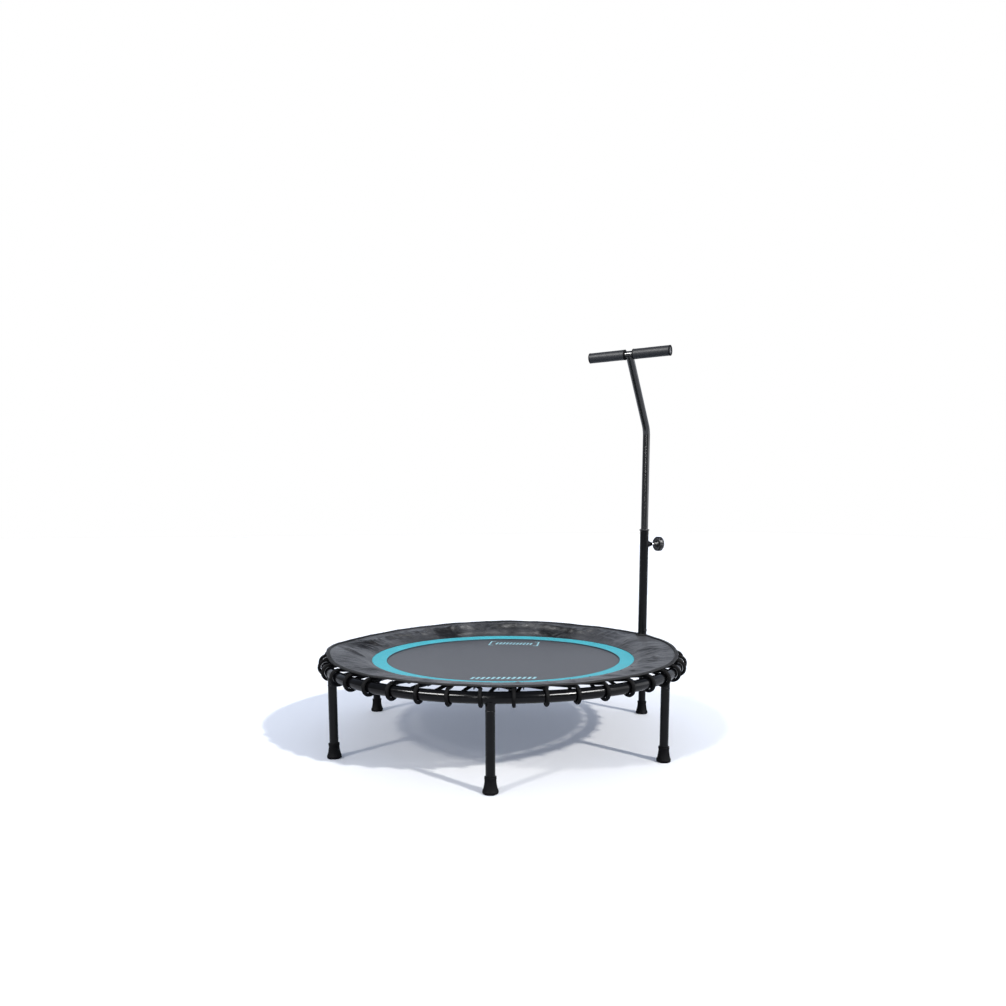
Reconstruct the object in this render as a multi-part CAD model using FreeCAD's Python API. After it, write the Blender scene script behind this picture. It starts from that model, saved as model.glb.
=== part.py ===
import FreeCAD, Part
import math
import os

from FreeCAD import Vector

# Fitness mini trampoline with a swivelling T-bar handle.
# Millimetres and degrees. +Z is up and z = 0 is the floor.
# The origin is the centre of the circle of feet. The leg that carries the handle stands on +Y.

# ---- Driving dimensions -------------------------------------------------------------------

# Round frame tube
ring_radius = 554.0
ring_tube_r = 16.0
ring_wall = 1.5
ring_z = 250.0

# Legs, their welded sockets and rubber feet
leg_count = 6
first_leg_angle = 90.0
leg_r = 12.7
leg_wall = 1.5
leg_bottom_z = 8.0
socket_bottom_z = 216.0
socket_thread_r = 6.0
stud_clearance = 0.15
stud_length = 14.0
leg_plug_length = 26.0
vent_hole_r = 3.0
foot_height = 45.0
foot_top_r = 15.5
foot_waist_r = 17.0
foot_base_r = 21.0
foot_flare_z = 12.0
foot_chamfer = 2.0

# Jumping mat
mat_radius = 430.0
mat_z = 255.0
mat_thickness = 2.0
band_inner_r = 363.0
band_outer_r = 417.0
band_thickness = 0.8
webbing_inner_r = 398.0
webbing_outer_r = 432.0
webbing_thickness = 1.6

# Bungee lacing: one cord in a V between neighbouring tabs, once round the tube per V
loop_count = 42
loop_phase = -2.45
cord_r = 5.0
cord_gap = 0.3
wrap_lean = 1.0
eye_radius = 443.0
eye_half_width = 11.0
eye_bend_r = 7.0

# Webbing tabs that hold the cord at the edge of the mat
tab_width = 10.0
tab_thickness = 1.5
tab_tail_inner_r = 412.0
tab_tail_thickness = 2.8
tab_cord_gap = 0.15

# Skirt over the lacing, with its bound edge and a notch for the post
skirt_outer_r = 545.0
skirt_thickness = 1.5
skirt_profile = [(band_outer_r + 0.2, 256.3), (446.0, 263.0), (500.0, 271.5), (skirt_outer_r, 278.0)]
binding_width = 7.0
binding_height = 5.0
notch_r = 19.0

# Handle post on the frame
post_radius = 549.0
post_r = 15.0
post_wall = 1.5
post_top_z = 655.0
spigot_gap = 0.2
spigot_top_z = 350.0
post_base_z = 258.0
post_bolt_z = 305.0
post_bolt_r = 3.0
bolt_head_r = 6.0
bolt_head_height = 4.0

# Bushing at the top of the post
bushing_flange_r = 17.0
bushing_flange = 5.0
bushing_depth = 30.0

# Clamp: welded boss, screw and knob on an axis that points away from the mat
clamp_z = 608.0
screw_r = 4.0
screw_tip_gap = 0.15
boss_length = 16.0
boss_base_r = 12.0
boss_tip_r = 6.5
knob_hub_start = 40.0
knob_hub_r = 9.0
knob_start = 53.0
knob_thickness = 19.0
knob_r = 24.5
knob_lobes = 8
knob_groove_r = 6.0
knob_groove_out = 4.0
knob_edge_r = 6.0

# Handle stem, crossbar and grips
stem_r = 12.5
stem_wall = 1.5
stem_bottom_z = 490.0
stem_running_gap = 0.05
stem_bend_z = 999.0
stem_bend_r = 60.0
stem_lean = 38.0
stem_upper_length = 280.0
handle_turn = 33.0
crossbar_r = 11.0
crossbar_wall = 1.5
crossbar_half = 134.0
grip_r = 16.0
grip_start = 13.5
grip_end = 138.0
grip_edge_r = 3.5
plug_flange_r = 10.9
plug_flange = 2.5
plug_depth = 16.0

# Glide cup at the bottom of the stem
glide_r = post_r - post_wall - 0.08
glide_floor = 4.0
glide_height = 40.0
glide_seat_gap = 0.3

# ---- Helpers ------------------------------------------------------------------------------

UP = Vector(0, 0, 1)
ORIGIN = Vector(0, 0, 0)


def polar(radius, angle, z):
    """A point at a radius and an angle about the vertical centre line."""
    turn = math.radians(angle)
    return Vector(radius * math.cos(turn), radius * math.sin(turn), z)


def turned(shape, angle):
    """A copy of a shape turned about the vertical centre line."""
    copy = shape.copy()
    copy.rotate(ORIGIN, UP, angle)
    return copy


def tube(outer_r, inner_r, height, base, axis=UP):
    """A straight round tube."""
    outer = Part.makeCylinder(outer_r, height, base, axis)
    return outer.cut(Part.makeCylinder(inner_r, height, base, axis))


def lathe(points, base=ORIGIN):
    """A solid turned about the vertical from (radius, z) points, set down at base."""
    corners = [Vector(radius, 0, z) for radius, z in points]
    face = Part.Face(Part.makePolygon(corners + [corners[0]]))
    solid = face.revolve(ORIGIN, UP, 360)
    solid.translate(base)
    return solid


def edges_at(shape, test):
    """The edges of a shape whose centre passes a test."""
    return [edge for edge in shape.Edges if test(edge.CenterOfMass)]


def rounded_path(points, radii):
    """A wire of straight runs joined by tangent arcs; radii has one value per inner point."""
    edges = []
    start = points[0]
    for index, radius in enumerate(radii, 1):
        corner = points[index]
        back = (points[index - 1] - corner).normalize()
        ahead = (points[index + 1] - corner).normalize()
        half_angle = back.getAngle(ahead) / 2
        reach = radius / math.tan(half_angle)
        arc_in = corner + back * reach
        arc_out = corner + ahead * reach
        middle_way = (back + ahead).normalize()
        arc_middle = corner + middle_way * (radius / math.sin(half_angle) - radius)
        if (arc_in - start).Length > 1e-6:
            edges.append(Part.LineSegment(start, arc_in).toShape())
        edges.append(Part.Arc(arc_in, arc_middle, arc_out).toShape())
        start = arc_out
    edges.append(Part.LineSegment(start, points[-1]).toShape())
    return Part.Wire(edges)


def sweep_round(path, radius):
    """A round bar along a wire."""
    first = path.OrderedEdges[0]
    direction = first.tangentAt(first.FirstParameter)
    section = Part.Wire(Part.makeCircle(radius, first.Vertexes[0].Point, direction))
    return path.makePipeShell([section], True, False)


def ring_solid(radius):
    """A solid torus on the frame tube's centre line."""
    return Part.makeTorus(ring_radius, radius, Vector(0, 0, ring_z), UP)


leg_angles = [first_leg_angle + 360.0 / leg_count * index for index in range(leg_count)]
post_foot = Vector(0, post_radius, 0)
saddle = ring_solid(ring_tube_r + 0.05)

parts = {}

# ---- Frame --------------------------------------------------------------------------------


def make_ring():
    """Bent steel tube, closed on itself, with one weld vent above each leg."""
    ring = ring_solid(ring_tube_r).cut(ring_solid(ring_tube_r - ring_wall))
    for angle in leg_angles:
        base = polar(ring_radius, angle, ring_z - ring_tube_r - 2)
        ring = ring.cut(Part.makeCylinder(vent_hole_r, ring_wall + 4, base))
    return ring


def make_leg_socket():
    """Short welded socket, saddled to the ring, with a threaded bore."""
    base = Vector(ring_radius, 0, socket_bottom_z)
    height = ring_z - socket_bottom_z
    body = tube(leg_r, socket_thread_r, height, base)
    return body.cut(saddle)


def make_leg():
    """Straight leg tube."""
    base = Vector(ring_radius, 0, leg_bottom_z)
    return tube(leg_r, leg_r - leg_wall, socket_bottom_z - leg_bottom_z, base)


def make_leg_stud():
    """Plug pressed into the top of a leg, with the stud that screws into the socket."""
    plug_base = Vector(ring_radius, 0, socket_bottom_z - leg_plug_length)
    plug = Part.makeCylinder(leg_r - leg_wall, leg_plug_length, plug_base)
    stud_base = Vector(ring_radius, 0, socket_bottom_z - 1)
    stud = Part.makeCylinder(socket_thread_r - stud_clearance, stud_length + 1, stud_base)
    return plug.fuse(stud).removeSplitter()


def make_foot():
    """Flared rubber foot pushed over the end of a leg."""
    outline = [
        (0, 0),
        (foot_base_r - foot_chamfer, 0),
        (foot_base_r, foot_chamfer),
        (foot_base_r, foot_flare_z - 4),
        (foot_waist_r, foot_flare_z + 6),
        (foot_top_r, foot_height - 1.5),
        (foot_top_r - 1.5, foot_height),
        (leg_r, foot_height),
        (leg_r, leg_bottom_z),
        (0, leg_bottom_z),
    ]
    return lathe(outline, Vector(ring_radius, 0, 0))


parts["frame_ring"] = make_ring()
parts["leg_sockets"] = Part.Compound([turned(make_leg_socket(), angle) for angle in leg_angles])
parts["leg_studs"] = Part.Compound([turned(make_leg_stud(), angle) for angle in leg_angles])
for number, angle in enumerate(leg_angles, 1):
    parts[f"leg_{number}"] = turned(make_leg(), angle)
    parts[f"foot_{number}"] = turned(make_foot(), angle)

# ---- Mat ----------------------------------------------------------------------------------

mat_top_z = mat_z + mat_thickness / 2
mat_bottom_z = mat_z - mat_thickness / 2
webbing_bottom_z = mat_bottom_z - webbing_thickness


def make_tab():
    """Strap looped round the cord and sewn under the edge of the mat."""
    side = Vector(0, 1, 0)
    eye = Vector(eye_radius, -tab_width / 2, mat_z)
    hole_r = cord_r + tab_cord_gap
    outer = Part.makeCylinder(hole_r + tab_thickness, tab_width, eye, side)
    tail_top = webbing_bottom_z
    tail_base = Vector(tab_tail_inner_r, -tab_width / 2, tail_top - tab_tail_thickness)
    tail_length = eye_radius - tab_tail_inner_r
    tail = Part.makeBox(tail_length, tab_width, tab_tail_thickness, tail_base)
    hole = Part.makeCylinder(hole_r, tab_width, eye, side)
    return outer.fuse(tail).cut(hole).removeSplitter()


pitch = 360.0 / loop_count
loop_angles = [first_leg_angle + loop_phase + pitch * index for index in range(loop_count)]
tab_angles = [angle - pitch / 2 for angle in loop_angles]

parts["jump_mat"] = Part.makeCylinder(mat_radius, mat_thickness, Vector(0, 0, mat_bottom_z))
parts["mat_colour_band"] = tube(band_outer_r, band_inner_r, band_thickness, Vector(0, 0, mat_top_z))
parts["mat_edge_webbing"] = tube(
    webbing_outer_r, webbing_inner_r, webbing_thickness, Vector(0, 0, webbing_bottom_z)
)
parts["mat_tabs"] = Part.Compound([turned(make_tab(), angle) for angle in tab_angles])

# ---- Bungee lacing ------------------------------------------------------------------------


def make_cord_loop():
    """One V of cord, from the middle of a tab, over and round the tube, to the next tab."""
    wrap_r = ring_tube_r + cord_r + cord_gap
    reach = ring_radius - eye_radius
    drop = math.atan((mat_z - ring_z) / reach)
    spread = math.asin(wrap_r / math.hypot(reach, mat_z - ring_z))
    run = reach + wrap_r
    top_z = mat_z + run * math.tan(spread - drop)
    bottom_z = mat_z - run * math.tan(spread + drop)
    first_eye = polar(eye_radius, -pitch / 2, mat_z)
    last_eye = polar(eye_radius, pitch / 2, mat_z)
    first_side = polar(eye_half_width, 90 - pitch / 2, 0)
    last_side = polar(eye_half_width, 90 + pitch / 2, 0)
    points = [
        first_eye,
        first_eye + first_side,
        Vector(ring_radius + wrap_r, -wrap_lean, top_z),
        Vector(ring_radius + wrap_r, wrap_lean, bottom_z),
        last_eye - last_side,
        last_eye,
    ]
    path = rounded_path(points, [eye_bend_r, wrap_r, wrap_r, eye_bend_r])
    loop = sweep_round(path, cord_r)
    print(
        f"cord loop: length {path.Length:.1f} mm, radii {eye_bend_r} and {wrap_r:.1f} mm, "
        f"volume {loop.Volume:.0f} against {math.pi * cord_r ** 2 * path.Length:.0f} mm3"
    )
    return loop


cord_loop = make_cord_loop()
parts["bungee_cord"] = Part.Compound([turned(cord_loop, angle) for angle in loop_angles])

# ---- Skirt --------------------------------------------------------------------------------


def make_skirt():
    """Padded cover that rises from the mat to just inside the top of the frame."""
    lower = list(skirt_profile)
    upper = [(radius, z + skirt_thickness) for radius, z in reversed(skirt_profile)]
    notch = Part.makeCylinder(notch_r, 400, post_foot)
    return lathe(lower + upper).cut(notch)


def make_binding():
    """Tape folded over the free edge, and round the notch for the post."""
    edge_r, edge_z = skirt_profile[-1]
    low = edge_z + skirt_thickness / 2 - binding_height / 2
    outer_r = edge_r + binding_width
    tape = tube(outer_r, edge_r, binding_height, Vector(0, 0, low))
    cutter = Part.makeCylinder(notch_r, 400, post_foot)
    tape = tape.cut(cutter)
    round_notch = tube(notch_r, notch_r - 2.0, binding_height, post_foot + Vector(0, 0, low))
    inside = Part.makeCylinder(outer_r, binding_height, Vector(0, 0, low))
    return tape.fuse(round_notch.common(inside)).removeSplitter()


parts["skirt_cover"] = make_skirt()
parts["skirt_binding"] = make_binding()

# ---- Handle post --------------------------------------------------------------------------

post_bore_r = post_r - post_wall
spigot_r = post_bore_r - spigot_gap


def bolt_hole():
    """Cross hole through the post and its spigot."""
    side = Vector(1, 0, 0)
    start = post_foot + Vector(-30, 0, post_bolt_z)
    return Part.makeCylinder(post_bolt_r + 0.1, 60, start, side)


def make_spigot():
    """Stub tube welded to the ring; the post slips over it."""
    base = post_foot + Vector(0, 0, post_base_z)
    stub = tube(spigot_r, spigot_r - 2.0, spigot_top_z - post_base_z, base)
    return stub.cut(saddle).cut(bolt_hole())


def make_lower_post():
    """Outer tube of the handle, saddled over the ring."""
    base = post_foot + Vector(0, 0, post_base_z)
    outer = tube(post_r, post_bore_r, post_top_z - post_base_z, base)
    hole_start = post_foot + Vector(0, 0, clamp_z)
    screw_hole = Part.makeCylinder(screw_r + 0.3, post_r + 5, hole_start, Vector(0, 1, 0))
    return outer.cut(ring_solid(ring_tube_r + 0.3)).cut(bolt_hole()).cut(screw_hole)


def make_post_bolt():
    """Bolt across the foot of the post, with a domed head."""
    side = Vector(1, 0, 0)
    start = post_foot + Vector(-post_r - 0.05, 0, post_bolt_z)
    shank = Part.makeCylinder(post_bolt_r, 2 * post_r + 8, start, side)
    head = Part.makeCylinder(bolt_head_r, bolt_head_height, start, side * -1)
    head = head.makeFillet(2.5, edges_at(head, lambda c: c.x < start.x - bolt_head_height + 0.1))
    return shank.fuse(head)


def make_post_nut():
    """Hexagon nut on the far side of the post."""
    start = post_foot + Vector(post_r + 0.05, 0, post_bolt_z)
    corners = []
    for step in range(7):
        turn = math.radians(60 * step)
        corners.append(start + Vector(0, 5.8 * math.cos(turn), 5.8 * math.sin(turn)))
    body = Part.Face(Part.makePolygon(corners)).extrude(Vector(5, 0, 0))
    return body.cut(Part.makeCylinder(post_bolt_r + 0.02, 6, start, Vector(1, 0, 0)))


def make_bushing():
    """Flanged plastic bushing that closes the top of the post round the stem."""
    inner_r = stem_r + stem_running_gap
    flange = tube(bushing_flange_r, inner_r, bushing_flange, post_foot + Vector(0, 0, post_top_z))
    top_z = post_top_z + bushing_flange
    flange = flange.makeFillet(1.5, edges_at(flange, lambda c: c.z > top_z - 0.1)[:1])
    sleeve_base = post_foot + Vector(0, 0, post_top_z - bushing_depth)
    sleeve = tube(post_bore_r - 0.02, inner_r, bushing_depth, sleeve_base)
    return flange.fuse(sleeve).removeSplitter()


def make_boss():
    """Tapered boss welded to the post, threaded for the clamp screw."""
    outward = Vector(0, 1, 0)
    start = post_foot + Vector(0, post_r - 4, clamp_z)
    root = Part.makeCylinder(boss_base_r, 4.5, start, outward)
    taper_start = start + outward * 4.5
    taper = Part.makeCone(boss_base_r, boss_tip_r, boss_length - 0.5, taper_start, outward)
    post_solid = Part.makeCylinder(post_r, 60, post_foot + Vector(0, 0, clamp_z - 30))
    bore = Part.makeCylinder(screw_r + 0.06, boss_length + 10, start, outward)
    return root.fuse(taper).cut(post_solid).cut(bore).removeSplitter()


parts["post_spigot"] = make_spigot()
parts["lower_post"] = make_lower_post()
parts["post_bolt"] = make_post_bolt()
parts["post_nut"] = make_post_nut()
parts["post_bushing"] = make_bushing()
parts["clamp_boss"] = make_boss()

# ---- Clamp --------------------------------------------------------------------------------


def make_clamp_screw():
    """Screw that bears on the stem; its outer end is held in the knob."""
    start = stem_r + screw_tip_gap
    base = post_foot + Vector(0, start, clamp_z)
    length = knob_start + knob_thickness * 0.5 - start
    screw = Part.makeCylinder(screw_r, length, base, Vector(0, 1, 0))
    return screw.makeChamfer(1.0, edges_at(screw, lambda c: c.y < base.y + 0.1))


def make_clamp_knob():
    """Lobed hand knob with a hub towards the post."""
    outward = Vector(0, 1, 0)
    knob_base = post_foot + Vector(0, knob_start, clamp_z)
    disc = Part.makeCylinder(knob_r, knob_thickness, knob_base, outward)
    disc = disc.makeFillet(knob_edge_r, [edge for edge in disc.Edges if len(edge.Vertexes) == 1])
    groove_centre_r = knob_r + knob_groove_out
    for lobe in range(knob_lobes):
        turn = math.radians(360.0 / knob_lobes * lobe)
        side = Vector(groove_centre_r * math.cos(turn), 0, groove_centre_r * math.sin(turn))
        disc = disc.cut(Part.makeCylinder(knob_groove_r, knob_thickness, knob_base + side, outward))
    hub_base = post_foot + Vector(0, knob_hub_start, clamp_z)
    hub_length = knob_start - knob_hub_start
    hub = Part.makeCone(knob_hub_r - 1.5, knob_hub_r + 1, hub_length + 0.5, hub_base, outward)
    depth = knob_start + knob_thickness * 0.5 - knob_hub_start
    bore = Part.makeCylinder(screw_r + 0.05, depth, hub_base, outward)
    return disc.fuse(hub).cut(bore).removeSplitter()


parts["clamp_screw"] = make_clamp_screw()
parts["clamp_knob"] = make_clamp_knob()

# ---- Handle -------------------------------------------------------------------------------

lean_angle = -90 + handle_turn
lean_way = polar(math.sin(math.radians(stem_lean)), lean_angle, math.cos(math.radians(stem_lean)))
bar_way = polar(1, lean_angle + 90, 0)
bend_point = post_foot + Vector(0, 0, stem_bend_z)
bar_centre = bend_point + lean_way * stem_upper_length


def make_stem():
    """Bent tube that slides and turns in the post, saddled to the crossbar."""
    bottom = post_foot + Vector(0, 0, stem_bottom_z)
    path = rounded_path([bottom, bend_point, bar_centre], [stem_bend_r])
    outer = sweep_round(path, stem_r)
    inner = sweep_round(path, stem_r - stem_wall)
    start = bar_centre - bar_way * 40
    return outer.cut(inner).cut(Part.makeCylinder(crossbar_r + 0.05, 80, start, bar_way))


def make_crossbar():
    """Straight tube across the top of the stem."""
    start = bar_centre - bar_way * crossbar_half
    return tube(crossbar_r, crossbar_r - crossbar_wall, 2 * crossbar_half, start, bar_way)


def make_grip(side):
    """Foam sleeve on one half of the crossbar, with rounded ends."""
    way = bar_way * side
    length = grip_end - grip_start
    body = Part.makeCylinder(grip_r, length, bar_centre + way * grip_start, way)
    rims = [edge for edge in body.Edges if len(edge.Vertexes) == 1]
    body = body.makeFillet(grip_edge_r, rims)
    start = bar_centre + way * (grip_start - 1)
    return body.cut(Part.makeCylinder(crossbar_r, length + 2, start, way))


def make_end_plug(side):
    """Plastic plug in the end of the crossbar."""
    way = bar_way * side
    end = bar_centre + way * crossbar_half
    flange = Part.makeCylinder(plug_flange_r, plug_flange, end, way)
    stem = Part.makeCylinder(crossbar_r - crossbar_wall, plug_depth, end - way * plug_depth, way)
    return flange.fuse(stem)


def make_glide():
    """Cup at the foot of the stem that guides it in the post and lets it turn."""
    floor_z = stem_bottom_z - glide_seat_gap
    base = post_foot + Vector(0, 0, floor_z - glide_floor)
    body = Part.makeCylinder(glide_r, glide_height, base)
    bore_base = post_foot + Vector(0, 0, floor_z)
    return body.cut(Part.makeCylinder(stem_r + stem_running_gap, glide_height, bore_base))


parts["stem_glide"] = make_glide()
parts["handle_stem"] = make_stem()
parts["crossbar"] = make_crossbar()
parts["grip_left"] = make_grip(-1)
parts["grip_right"] = make_grip(1)
parts["bar_plug_left"] = make_end_plug(-1)
parts["bar_plug_right"] = make_end_plug(1)

# ---- Output -------------------------------------------------------------------------------

os.makedirs("parts", exist_ok=True)
for name, shape in parts.items():
    shape.exportStep(f"parts/{name}.step")
print(f"{len(parts)} sub-parts; crossbar centre {bar_centre}; lowest cord bend radius {eye_bend_r}")
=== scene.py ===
import math

import bmesh
import bpy
import numpy as np
from mathutils import Matrix, Vector


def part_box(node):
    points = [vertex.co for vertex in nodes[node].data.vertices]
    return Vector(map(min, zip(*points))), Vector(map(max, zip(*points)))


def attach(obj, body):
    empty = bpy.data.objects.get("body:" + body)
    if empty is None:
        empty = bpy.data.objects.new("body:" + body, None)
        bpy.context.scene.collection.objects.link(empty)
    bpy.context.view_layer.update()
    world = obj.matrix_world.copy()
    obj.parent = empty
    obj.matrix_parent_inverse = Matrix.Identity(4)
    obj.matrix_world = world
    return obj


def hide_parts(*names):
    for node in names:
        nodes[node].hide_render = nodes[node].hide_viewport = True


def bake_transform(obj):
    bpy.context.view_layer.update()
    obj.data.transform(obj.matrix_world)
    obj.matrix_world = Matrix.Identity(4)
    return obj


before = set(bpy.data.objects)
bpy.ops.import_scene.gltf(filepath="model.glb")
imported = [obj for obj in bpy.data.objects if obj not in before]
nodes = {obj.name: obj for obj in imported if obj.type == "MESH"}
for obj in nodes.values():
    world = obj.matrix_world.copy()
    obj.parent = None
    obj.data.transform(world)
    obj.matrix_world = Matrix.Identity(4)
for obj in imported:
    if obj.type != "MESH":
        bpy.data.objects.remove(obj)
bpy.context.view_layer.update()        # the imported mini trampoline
MM = 0.001

# ---- Sizes: places come from the frame, the rest repeat part.py's driving dimensions ----

ring_low, ring_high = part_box("frame_ring")
TUBE_R = (ring_high[2] - ring_low[2]) / 2
RING_Z = ring_low[2] + TUBE_R
RING_R = ring_high[0] - TUBE_R

mat_low, mat_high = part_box("jump_mat")
MAT_R, MAT_TOP, MAT_BOTTOM = mat_high[0], mat_high[2], mat_low[2]
BAND_OUT, BAND_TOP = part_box("mat_colour_band")[1][0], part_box("mat_colour_band")[1][2]
BAND_IN = 369.5 * MM
BAND_THICK = 3.4 * MM       # at its padded inner edge
HEM_OUT, HEM_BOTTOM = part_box("mat_edge_webbing")[1][0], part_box("mat_edge_webbing")[0][2]
HEM_IN = 398 * MM

post_low, post_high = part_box("lower_post")
POST = Vector((0, (post_low[1] + post_high[1]) / 2, 0))
POST_R = (post_high[0] - post_low[0]) / 2
POST_TOP = post_high[2]
STEM_R = 12.5 * MM

RING_STEPS = 504            # points round the ring, for the tube and the hem
LEG_COUNT = 6
FIRST_LEG = 90.0
LEG_PITCH = 360 / LEG_COUNT
LEG_R = 12.7 * MM

LOOP_COUNT = 42
LOOP_PITCH = 360 / LOOP_COUNT
FIRST_LOOP = FIRST_LEG - 2.45
CORD_R = 5 * MM
CORD_GAP = 0.3 * MM
EYE_R = 443 * MM
EYE_HALF = 11 * MM
WRAP_LEAN = 1 * MM

SKIRT_IN = BAND_OUT + 0.2 * MM
SKIRT_OUT = 547 * MM
SKIRT_THICK = 1.3 * MM

CLAMP_Z = 608 * MM
KNOB_AXIS = Vector((0, 1, 0))
HANDLE_TURN = 33.0
STEM_LEAN = 38.0
bar_low, bar_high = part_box("crossbar")
BAR = (Vector(bar_low) + Vector(bar_high)) / 2
BAR_R = 11 * MM


def polar(radius, degrees, z=0.0):
    turn = math.radians(degrees)
    return Vector((radius * math.cos(turn), radius * math.sin(turn), z))


def circle(radius, z, steps):
    return [polar(radius, 360 * k / steps, z) for k in range(steps)]


BAR_WAY = polar(1, HANDLE_TURN)


# ---- Meshes ----


def unit(vectors):
    return vectors / np.maximum(np.linalg.norm(vectors, axis=-1, keepdims=True), 1e-12)


def distances(line, closed):
    """Running length along a line of points, with one more value where the line closes."""
    if closed:
        line = np.concatenate([line, line[:1]])
    return np.concatenate([[0], np.cumsum(np.linalg.norm(np.diff(line, axis=0), axis=1))])


def surface(name, grids, close_rows=False, close_columns=True, caps=False, normals=None, edge=40):
    """One mesh from grids of points[row][column], with a UV map, "cloth", in metres."""
    verts, faces, uvs = [], [], []
    for grid in grids:
        grid = np.asarray(grid, float)
        rows, columns = grid.shape[:2]
        along = distances(grid[:, 0], close_rows)
        around = distances(grid[rows // 2], close_columns)
        cells = np.meshgrid(range(len(along) - 1), range(len(around) - 1), indexing="ij")
        i, j = (a.ravel() for a in cells)
        steps = ((i, j), (i, j + 1), (i + 1, j + 1), (i + 1, j))
        start = len(verts)
        corners = [start + (a % rows) * columns + b % columns for a, b in steps]
        faces += np.stack(corners, 1).tolist()
        uvs.append(np.stack([np.stack([along[a], around[b]], -1) for a, b in steps], 1).reshape(-1, 2))
        if caps:
            first = list(range(start, start + columns))
            last = list(range(start + (rows - 1) * columns, start + rows * columns))
            faces += [first[::-1], last]
            uvs.append(np.zeros((2 * columns, 2)))
        verts += grid.reshape(-1, 3).tolist()
    mesh = bpy.data.meshes.new(name)
    mesh.from_pydata(verts, [], faces)
    layer = mesh.uv_layers.new(name="cloth")
    layer.data.foreach_set("uv", np.concatenate(uvs).astype(np.float32).ravel())
    tidy = bmesh.new()
    tidy.from_mesh(mesh)
    bmesh.ops.recalc_face_normals(tidy, faces=tidy.faces)
    tidy.to_mesh(mesh)
    tidy.free()
    mesh.shade_smooth()
    if normals is None:
        mesh.set_sharp_from_angle(angle=math.radians(edge))
    else:
        mesh.normals_split_custom_set_from_vertices(normals.reshape(-1, 3).tolist())
    piece = bpy.data.objects.new(name, mesh)
    bpy.context.scene.collection.objects.link(piece)
    return piece


def carry(path, section, closed=False, up=None):
    """Carries a section, a list of (side, up) offsets, along a path: rows follow the path."""
    path = np.asarray(path, float)
    if closed:
        ahead = unit(np.roll(path, -1, 0) - np.roll(path, 1, 0))
    else:
        ahead = unit(np.gradient(path, axis=0))
    if up is not None:
        side = unit(np.cross(ahead, np.broadcast_to(up, path.shape)))
    else:
        side = np.zeros_like(path)
        side[0] = unit(np.cross(ahead[0], (0.3, 0.2, 1)))
        for i in range(1, len(path)):
            side[i] = unit(side[i - 1] - ahead[i] * np.dot(side[i - 1], ahead[i]))
    over = np.cross(side, ahead)
    section = np.asarray(section, float)
    if section.ndim == 2:
        section = np.broadcast_to(section, (len(path),) + section.shape)
    return path[:, None] + section[..., :1] * side[:, None] + section[..., 1:] * over[:, None]


def round_section(radius, sides):
    turn = np.linspace(0, 2 * np.pi, sides, endpoint=False)
    return np.stack([radius * np.cos(turn), radius * np.sin(turn)], -1)


def flat_section(width, thickness, sides=20, squareness=5):
    """A rounded strip across a tape or a strap."""
    turn = np.linspace(0, 2 * np.pi, sides, endpoint=False)
    c, s = np.cos(turn), np.sin(turn)
    bend = 2 / squareness
    across = width / 2 * np.sign(c) * abs(c) ** bend
    return np.stack([across, thickness / 2 * np.sign(s) * abs(s) ** bend], -1)


def past_corner(start, corner, end, t):
    """A point, from t = 0 to 1, on the curve that cuts a corner."""
    return start * (1 - t) ** 2 + corner * 2 * t * (1 - t) + end * t * t


def eased(points):
    """A smooth line with the points as its control points, straight where they are far apart."""
    steps = 6
    middles = [(a + b) / 2 for a, b in zip(points, points[1:])]
    line = [points[0]]
    for start, corner, end in zip(middles, points[1:], middles[1:]):
        line += [past_corner(start, corner, end, k / steps) for k in range(steps)]
    return line + [middles[-1], points[-1]]


def softened(profile, radius):
    """A profile in metres, with rounded corners, from (radius, height) points in millimetres."""
    steps = 3
    points = [Vector((r * MM, z * MM)) for r, z in profile]
    line = [points[0]]
    for before, corner, after in zip(points, points[1:], points[2:]):
        reach = min(radius * MM, (before - corner).length / 2.05, (after - corner).length / 2.05)
        start = corner + (before - corner).normalized() * reach
        end = corner + (after - corner).normalized() * reach
        line += [past_corner(start, corner, end, k / steps) for k in range(steps + 1)]
    return line + [points[-1]]


def lathe(profile, centre, sides, axis=(0, 0, 1), shape=None):
    """Turns a profile of (radius, height) about an axis; shape changes a radius by its angle."""
    axis = Vector(axis).normalized()
    side = axis.orthogonal().normalized() if abs(axis.z) < 0.9 else Vector((1, 0, 0))
    over = axis.cross(side)
    rows = []
    for radius, height in profile:
        row = []
        for k in range(sides):
            turn = 2 * math.pi * k / sides
            r = radius if shape is None else shape(radius, height, turn)
            outwards = side * math.cos(turn) + over * math.sin(turn)
            row.append(Vector(centre) + axis * height + outwards * r)
        rows.append(row)
    return np.array(rows)


def placed(piece, body, finish, slot, *stands_for):
    """Gives a piece its body, its finish and the CAD nodes that it stands for."""
    piece.data.materials.append(finish)
    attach(piece, body)
    if stands_for:
        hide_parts(*stands_for)


def stitch_grids(places, length, radius):
    """Small thread stitches, each given by its middle, the way it runs and the way it faces."""
    grids = []
    for middle, way, facing in places:
        ends = [middle + way * (length * t) + facing * (radius * h) for t, h in
                ((-0.5, -0.6), (-0.36, 0.35), (0, 0.7), (0.36, 0.35), (0.5, -0.6))]
        scale = np.array([0.5, 0.9, 1, 0.9, 0.5])[:, None, None]
        grids.append(carry(ends, round_section(radius, 6) * scale, up=facing))
    return grids


def ring_of_stitches(radius, z, pitch, length, facing=1):
    count = int(2 * math.pi * radius / pitch)
    places = []
    for k in range(count):
        degrees = 360 * k / count
        places.append((polar(radius, degrees, z), polar(1, degrees + 90), Vector((0, 0, facing))))
    return stitch_grids(places, length, 0.35 * MM)


# ---- Materials ----


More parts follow.
